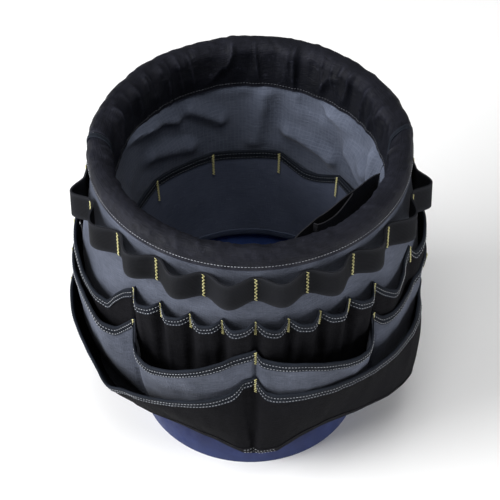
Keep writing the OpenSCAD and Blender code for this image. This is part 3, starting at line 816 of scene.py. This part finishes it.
def build_slit_binding(node, azimuth, toward):
    """The tape that closes the cover's raw edge along a side slit."""
    path = cover_path(28)[1:-9]
    angle = roll_angles(path)
    away = path - (ROLL_R, ROLL_Z)
    away[:, 1] = np.maximum(away[:, 1], 0)
    lifted = path + unit(away) * 0.9
    width = math.degrees(5.5 / ROLL_R)
    a = np.sort(np.linspace(azimuth, azimuth + toward * width, 7))[:, None]
    crown = np.sin(np.linspace(0, math.pi, 7))[:, None] * 0.35
    wobble = 0.25 * ripple(a * 8, lifted[None, :, 1] * 2, (40, 18), 48)
    raised = END_RAISE * (azimuth > FRONT)
    grid = round_points(a + slit_lean(a, angle), lifted[None, :, 0] + crown + wobble,
                        lifted[None, :, 1] + crown * 0.5 + raised)
    shell(node, grid, 0.8, BINDING_LOOK)


# ---- outer pockets ----

def folded(face_r, other_r, z, bulge, count):
    """Radii and heights of a tape along one face to an edge, round it and back along the other face."""
    near, far = face_r[:, -1:], other_r[:, -1:]
    bend = np.linspace(0, math.pi, count)[None, 1:-1]
    r = np.concatenate([face_r, (near + far + (near - far) * np.cos(bend)) / 2, other_r[:, ::-1]], axis=1)
    return r, np.concatenate([z, z[:, -1:] + bulge * np.sin(bend), z[:, ::-1]], axis=1)


def bound_edge(name, a, radius, top, height=BINDING_H):
    """A tape folded over a panel's top edge, and the places of its two rows of stitches."""
    z = top[:, None] - np.linspace(height, 0, 7)[None]
    face_r = radius(a[:, None], z) + TAPE + 0.1
    thick = CLOTH + 2 * TAPE + 0.2
    r, z = folded(face_r, face_r - thick, z, thick / 2, 7)
    tape_wave = 0.15 * ripple(a[:, None] * 4, z * 3, (10, 14), 51)
    grid = round_points(a[:, None], r + tape_wave, z)
    piece = shell(name, grid, TAPE, BINDING_LOOK)
    normals = grid_normals(grid)
    return piece, [seam(grid[:, k], normals[:, k]) for k in (1, 4)]


def build_row(row, look, bartack_h):
    """One row of pockets with its edges, stitching and bartacks, on both halves."""
    tacks = []
    for half, turn in (("front", 0), ("back", 180)):
        a = azimuths(-180 + 0.2, -0.2, FINE, row.seams()) + turn
        _, top = row.edge(a)
        grid = wall(a, row.bottom(a), top, row.radius, 40)
        z = grid[..., 2]
        sewn = np.abs(wrap(a)[:, None] - np.array(row.seams())[None]).min(1) < 0.4
        held = sewn[:, None] | (z < z[:, :1] + 4) | (z > z[:, -1:] - BINDING_H - 1)
        grid = settle(grid, widened(grid, 1.03, 1.015), held, 3.5)
        grid = kept_between(grid, row.under(a[:, None], z) + 0.4, np.inf)
        panel = shell(f"{row.name}_pocket_panel_{half}", grid, CLOTH, look)
        binding, places = bound_edge(f"{row.name}_pocket_binding_{half}", a, row.radius, top)
        stitching = sew(f"{row.name}_pocket_stitching_{half}", places, SEAM_LOOK)
        for azimuth in row.seams()[:-1]:
            at = np.full(2, azimuth + turn + (0.001 if azimuth > -180 else SIDE_TACK))
            heights = row.edge(at)[1] + (-bartack_h, 0.5)
            tacks.append(bartack(at, row.radius(at, heights) + BARTACK_STAND, heights))
    add_bartacks(f"{row.name}_bartacks", tacks)


def build_skirt():
    a = azimuths(-180, 180, FINE)[:-1]
    grid = wall(a, hem_z(a), PAIL_TOP - 3, skirt_r, 80)
    skirt = shell("outer_skirt", grid, CLOTH, GREY_LOOK, closed=True)
    build_hem(a)


def build_hem(a):
    """The tape folded round the lower edge of the skirt and lower pockets together."""
    z = hem_z(a)[:, None] + np.linspace(HEM_TAPE_H, 0, 5)[None]
    front = LOWER.radius(a[:, None], z) + 1.0
    back = skirt_r(a[:, None], z) - CLOTH - 1.0
    grid = round_points(a[:, None], *folded(back, front, z, -1.6, 6))
    hem = shell("skirt_hem_binding", grid, TAPE, BLACK_LOOK, closed=True)
    normals = grid_normals(grid, True)
    flap = np.abs(wrap(a) - FRONT - 2) < 7
    places = []
    for turned in (False, True):
        here = flap & ((a > 0) == turned)
        places += [seam(grid[here, k], normals[here, k]) for k in (-2, -4)]
    return [hem, sew("skirt_hem_stitching", places, SEAM_LOOK)]


# ---- tool loops ----

# The loops beside the side seams, by number from the front seam: the share of the loop where its bulge starts
# and ends, and how far it stands off beside the others
LOOP_SPAN = {4: (0.04, 0.68), 15: (0.32, 0.96)}
LOOP_STAND = {5: 0.08, 14: 0.08, 6: 0.5, 13: 0.5}


def loop_stand(share, number):
    """How far the webbing stands off the skirt across a loop, from 0 at its bartacks to 1."""
    start, end = np.array([LOOP_SPAN.get(k, (0.04, 0.96)) for k in number]).T
    across = np.clip((share - start) / (end - start), 0, 1)
    return np.array([LOOP_STAND.get(k, 1.0) for k in number]) * np.sin(np.pi * across) ** 1.6


def seat_r(a):
    """The skirt's radius where the webbing is sewn to it."""
    return np.maximum(skirt_r(a, WEBBING_LOW), skirt_r(a, WEBBING_HIGH))


def build_webbing():
    """Four strips of webbing, each sewn down in five loops."""
    pitch = 360 / LOOPS
    each = LOOPS // 4
    luck = np.random.default_rng(8)
    bulge = luck.uniform(-1.2, 1.2, LOOPS)
    lean = luck.uniform(-0.9, 0.9, LOOPS)
    tacks = []
    height = np.linspace(0, 1, 9)[None]
    for name, start in (("front_right", 0), ("back_right", 5), ("back_left", 10), ("front_left", 15)):
        u = np.linspace(0.008, each - 0.008, each * 26 + 1)
        loop = np.minimum(u.astype(int), each - 1)
        number = (start + loop) % LOOPS
        a = FRONT + (start + u) * pitch
        stand = loop_stand(u - loop, number)[:, None]
        out = (LOOP_DEPTH + 3.5 * side(a) + bulge[number])[:, None] + (height - 0.5) * lean[number][:, None]
        r = seat_r(a)[:, None] + 0.5 + WEBBING_T + out * stand
        z = WEBBING_LOW + (WEBBING_HIGH - WEBBING_LOW) * height - 0.8 * stand
        grid = round_points(a[:, None], r, z)
        strap = shell(f"loop_webbing_{name}", grid, WEBBING_T, WEBBING_LOOK)
        for k in range(each):
            at = np.full(2, FRONT + (start + k) * pitch)
            heights = np.array([WEBBING_LOW + 1, WEBBING_HIGH - 1])
            tacks.append(bartack(at, seat_r(at) + 1 + WEBBING_T, heights, pitch=2.2))
    add_bartacks("loop_bartacks", tacks)


# ---- inside the pail ----

def lining_r(z):
    """Radius of the lining's outer face, which lies on the pail's wall."""
    return 115.3 + 25 * z / 350


def lining_folds(a, z):
    """How far the lining stands in from the wall."""
    broad = ripple(a + 0.12 * z, z, (16, 46), 61)
    small = ripple(a - 0.1 * z, z, (6, 26), 62)
    folds = 3.0 * np.maximum(0, broad + 0.2) + 1.4 * np.maximum(0, small)
    for start, end, width, depth in LINING_FOLDS:
        folds = folds + crease(a, z, start, end, width, depth)
    return np.maximum(0, folds) * (1 - ease(z, 303, LINING_HIGH))


# The big folds of the back lining, each from an azimuth and height to another, with its width and depth
LINING_FOLDS = [((153, 312), (124, 290), 6, 9), ((133, 288), (108, 252), 5, -6),
                ((116, 294), (102, 272), 6, 8), ((140, 262), (118, 246), 7, 7),
                ((81, 306), (86, 240), 8, 6), ((62, 300), (28, 284), 6, -7),
                ((48, 300), (20, 270), 8, 11), ((70, 258), (46, 244), 6, 9),
                ((36, 268), (14, 246), 6, 9), ((16, 306), (11, 262), 5, 9)]


def build_lining(half, start, end):
    a = azimuths(start, end, 0.9)[:, None]
    z = np.linspace(LINING_LOW, LINING_HIGH + 4, 60)[None]
    near_pocket = 0.1 + 0.9 * ease(z, LINING_POCKET_Z - 6, LINING_POCKET_Z + 8)
    grid = round_points(a, lining_r(z) - 0.2 - lining_folds(a, z) * near_pocket, z)
    ends = np.isin(a, a[[0, -1]])
    held = (z < LINING_POCKET_Z + 6) | (z > LINING_HIGH - 4) | ends
    grid = settle(grid, widened(grid, 1.03, 1.01), held, 4.0, bending=2.0)
    grid = kept_between(grid, 0, lining_r(grid[..., 2]) - 0.2)
    lining = shell(f"lining_{half}", grid, CLOTH, LINING_LOOK)


def lining_seams(half):
    """Azimuths of the lining pockets' seams: the front half has one pocket more."""
    start, end, count = (FRONT - SLIT + 2, FRONT + SLIT - 2, 6) if half == "front" else (8.0, 172.0, 5)
    return np.linspace(start, end, count + 1)


def build_lining_pockets(half):
    seams = lining_seams(half)
    width = seams[1] - seams[0]
    a = azimuths(seams[0], seams[-1], 0.8, seams)
    luck = np.random.default_rng(71 if half == "front" else 72)
    swell = luck.uniform(1.2, 2.4, len(seams) - 1)
    sag = luck.uniform(0.5, 1.5, len(seams) - 1)
    if half == "back":
        swell[1], sag[1] = 5.0, 12.0    # the loose pocket on the right

    def pocket_at(a):
        """Which pocket azimuth a is in, and how near its middle: 0 at its seams, 1 halfway."""
        i = np.clip(((a - seams[0]) / width).astype(int), 0, len(seams) - 2)
        return i, np.abs(np.sin(np.pi * (a - seams[0]) / width))

    def pocket_r(a, z):
        i, inside = pocket_at(a)
        opening = ease(z, LINING_LOW, LINING_POCKET_Z) ** 0.6
        folds = 0.5 * (ripple(a, z, (5, 50), 73) + 1)
        return lining_r(z) - CLOTH - 1.6 - swell[i] * inside ** 0.8 * opening - folds

    i, inside = pocket_at(a)
    top = LINING_POCKET_Z - sag[i] * inside ** 1.2
    grid = wall(a, LINING_LOW + 1, top, pocket_r, 34)
    panel = shell(f"lining_pocket_panel_{half}", grid, CLOTH, SLATE_LOOK)
    binding, _ = bound_edge(f"lining_pocket_binding_{half}", a, pocket_r, top, 9.0)
    places = []
    for drop in (2.0, 7.0):
        height = top - drop
        points = round_points(a, pocket_r(a, height) - CLOTH - TAPE - 0.2, height)
        places.append(seam(points, -outward(a)))
    stitching = sew(f"lining_pocket_stitching_{half}", places, DARK_SEAM_LOOK)
    tacks = []
    heights = LINING_POCKET_Z + np.array([-27, 0.5])
    for azimuth in seams[1:-1]:
        at = np.full(2, azimuth)
        tacks.append(bartack(at, pocket_r(at, heights) - CLOTH - TAPE - 1.2, heights, facing=-1))
    return tacks


def build_lining_hem():
    a = azimuths(-180, 180, 1.5)[:-1][:, None]
    r0 = lining_r(LINING_LOW)
    # The tape's section from behind the lining, round its edge and up in front, as depth and height
    path = np.array([(0.1, 2), (0.6, -0.4), (2.4, -1.2), (3.9, 0), (4.3, 3), (4.4, 9)])
    wave = 0.3 * ripple(a, 0, (9, 40), 75)
    grid = round_points(a, r0 - path[None, :, 0] - np.abs(wave), LINING_LOW + path[None, :, 1] + wave)
    shell("lining_hem_binding", grid, 0.8, HEM_TAPE_LOOK, closed=True)


BLACK_FROM, BLACK_TO = FRONT - 2, 6.0
DIVIDER_FROM, DIVIDER_TO = -43.0, -8.0


def bow(a, start, end, power):
    return np.clip(np.sin(np.pi * (a - start) / (end - start)), 0, 1) ** power


def black_r(a, z):
    """Radius of the black inside pocket's panel, which bows away from the lining on the right."""
    opening = np.sin(np.pi / 2 * np.clip((z - BLACK_LOW) / (BLACK_Z - BLACK_LOW), 0, 1)) ** 0.8
    folds = 1.2 * ripple(a, z, (11, 60), 81) * bow(a, BLACK_FROM, BLACK_TO, 0.5)
    stand = 11 - 8.8 * ease(z, LINING_POCKET_Z + 6, LINING_POCKET_Z + 30)
    return lining_r(z) - stand - BLACK_BOW * bow(a, BLACK_FROM, BLACK_TO, 0.6) * opening + folds


def divider_r(a, z):
    """The divider curls away from the panel at once on its left, and lies back against it slowly."""
    share = np.clip((a - DIVIDER_FROM) / (DIVIDER_TO - DIVIDER_FROM), 0, 1)
    return black_r(a, z) + 2.2 + 8 * bow(share ** 0.6, 0, 1, 0.6)


def build_black_panel(name, start, end, radius, bottom):
    a = azimuths(start, end, 0.8)
    top = BLACK_Z - 1.5 * bow(a, start, end, 1) - 1.5 + 1.2 * ripple(a, 0, (14, 40), 83)
    grid = wall(a, bottom, top, radius, 40)
    panel = shell(name, grid, CLOTH, INNER_BLACK_LOOK)
    height = top - 8
    points = round_points(a, radius(a, height) - CLOTH - 0.1, height)
    stitching = sew(f"{name}_stitching", [seam(points, -outward(a))], BINDING_LOOK)


# ---- floor, light and camera ----

def build_stage():
    half = 4000.0
    corners = half * np.array([(-1, -1, 0), (1, -1, 0), (1, 1, 0), (-1, 1, 0)])
    mesh = new_mesh("floor", corners, [(0, 1, 2, 3)])
    look, tree, place = new_look("floor_paint", 0.9, 0.1)
    speckle = noise(tree, place, 3.0, 2.0)
    feed(tree, Base_Color=mix(tree, speckle, (0.93, 0.93, 0.93, 1), (0.96, 0.96, 0.96, 1)))
    mesh.materials.append(look)
    put("floor", mesh)


def aimed(name, data, place, direction):
    """Puts a lamp or camera in the scene so that it looks in that direction."""
    made = put(name, data)
    made.location = place
    made.rotation_mode = "QUATERNION"
    made.rotation_quaternion = direction.to_track_quat("-Z", "Y")
    return made


def build_light():
    """A white world, and square soft lights that shine on the middle of the object."""
    world = bpy.data.worlds.new("studio")
    world.use_nodes = True
    background = world.node_tree.nodes["Background"]
    background.inputs["Color"].default_value = (1.0, 1.0, 1.0, 1.0)
    background.inputs["Strength"].default_value = 0.24
    bpy.context.scene.world = world
    for name, place, size, power in (("key", (-2.1, -0.65, 1.35), 1.6, 104),
                                     ("top", (0.0, -0.75, 2.5), 1.0, 22),
                                     ("fill", (1.9, -0.9, 0.45), 0.8, 20),
                                     ("back", (0.3, 1.3, 2.2), 1.2, 5)):
        lamp = bpy.data.lights.new(name, "AREA")
        lamp.size = size
        lamp.energy = power
        aimed(name, lamp, place, Vector((0, 0, 0.25)) - Vector(place))
    bpy.context.scene.view_settings.view_transform = "Standard"


def build_camera():
    azimuth, elevation, distance = math.radians(-2), math.radians(46.26), 2.1477
    target = Vector((0, 0, 0.2041))
    back = Vector((math.sin(azimuth) * math.cos(elevation), -math.cos(azimuth) * math.cos(elevation),
                   math.sin(elevation)))
    data = bpy.data.cameras.new("camera")
    data.lens = 149.35
    bpy.context.scene.camera = aimed("camera", data, target + back * distance, -back)


# ---- build it all ----

dress_pail()
HALVES = {"front": (FRONT - SLIT + SLIT_HALF, FRONT + SLIT - SLIT_HALF),
          "back": (FRONT + SLIT + SLIT_HALF, FRONT + 360 - SLIT - SLIT_HALF)}
lining_tacks = []
for half, (start, end) in HALVES.items():
    build_rim(half, start, end)
    build_padding(half, start, end)
    build_lining(half, start, end)
    lining_tacks += build_lining_pockets(half)
add_bartacks("lining_bartacks", lining_tacks)
build_slit_binding("slit_binding_left", HALVES["front"][0], 1)
build_slit_binding("slit_binding_right", HALVES["front"][1], -1)
build_lining_hem()
build_black_panel("black_pocket_panel", BLACK_FROM, BLACK_TO, black_r, BLACK_LOW)
build_black_panel("black_pocket_divider", DIVIDER_FROM, DIVIDER_TO, divider_r, DIVIDER_LOW)
build_skirt()
build_webbing()
build_row(UPPER, BLACK_LOOK, 22)
build_row(MIDDLE, GREY_LOOK, 20)
build_row(LOWER, BLACK_LOOK, 20)
build_stage()
build_light()
build_camera()
